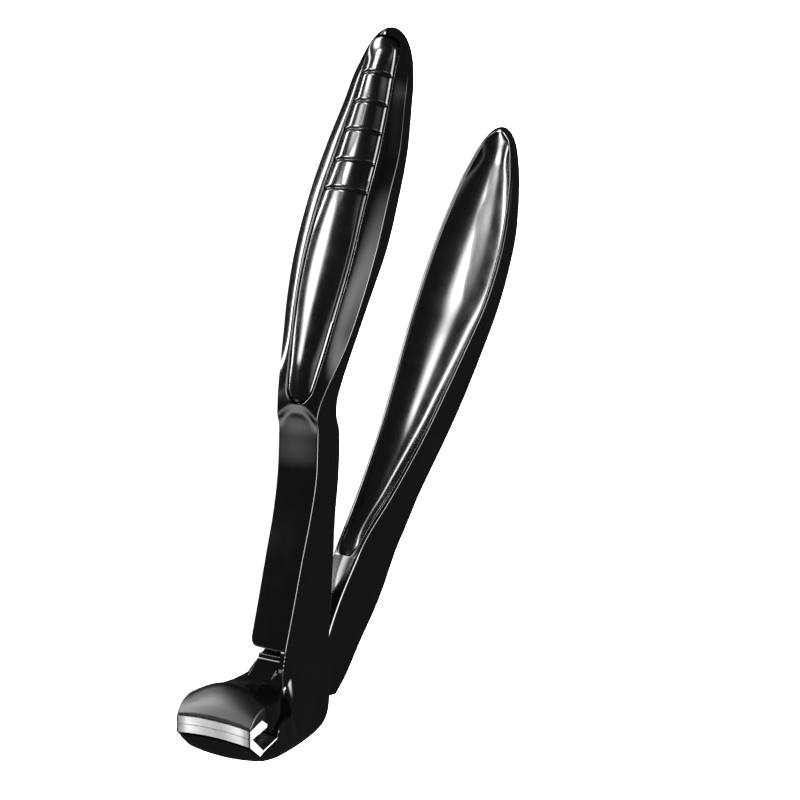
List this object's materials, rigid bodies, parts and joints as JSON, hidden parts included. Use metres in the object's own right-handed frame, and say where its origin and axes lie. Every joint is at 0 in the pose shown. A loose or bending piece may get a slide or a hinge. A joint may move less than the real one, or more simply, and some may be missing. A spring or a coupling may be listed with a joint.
{
  "type": "nail clipper",
  "caption": "Plier-type nail clipper: curved channel frame with a fixed lower jaw, and a lever that swings the upper jaw on a hidden pin.",
  "frame": {"origin": "middle of the bottom of the box around the clipper as it lies on its far side", "axes": "+X from the cutting edge back towards the lever handle, +Y up along the handles, +Z across the jaws, away from the surface it lies on"},
  "size_m": [0.054, 0.093, 0.0146],
  "materials": {
    "lacquer": "gloss",
    "blade_steel": "brushed",
    "pin_steel": "satin",
    "inlay": "gloss"
  },
  "bodies": {
    "frame_body": {"handle_frame": "lacquer", "grip_inlay": "inlay", "lower_blade": "blade_steel", "pivot_pin": "pin_steel", "near_washer": "pin_steel", "far_washer": "pin_steel", "stop_pin": "pin_steel"},
    "lever_body": {"jaw_lever": "lacquer", "upper_blade": "blade_steel", "lever_handle": "lacquer", "lever_inlay": "inlay", "lower_tenon_screw": "pin_steel", "upper_tenon_screw": "pin_steel"}
  },
  "joints": [
    {"name": "jaw_pivot", "type": "hinge", "parent": "frame_body", "child": "lever_body", "pos_m": [-0.01247, -0.0386, 0.0073], "axis": [0, 0, 1], "range_deg": [-15, 0]}
  ]
}
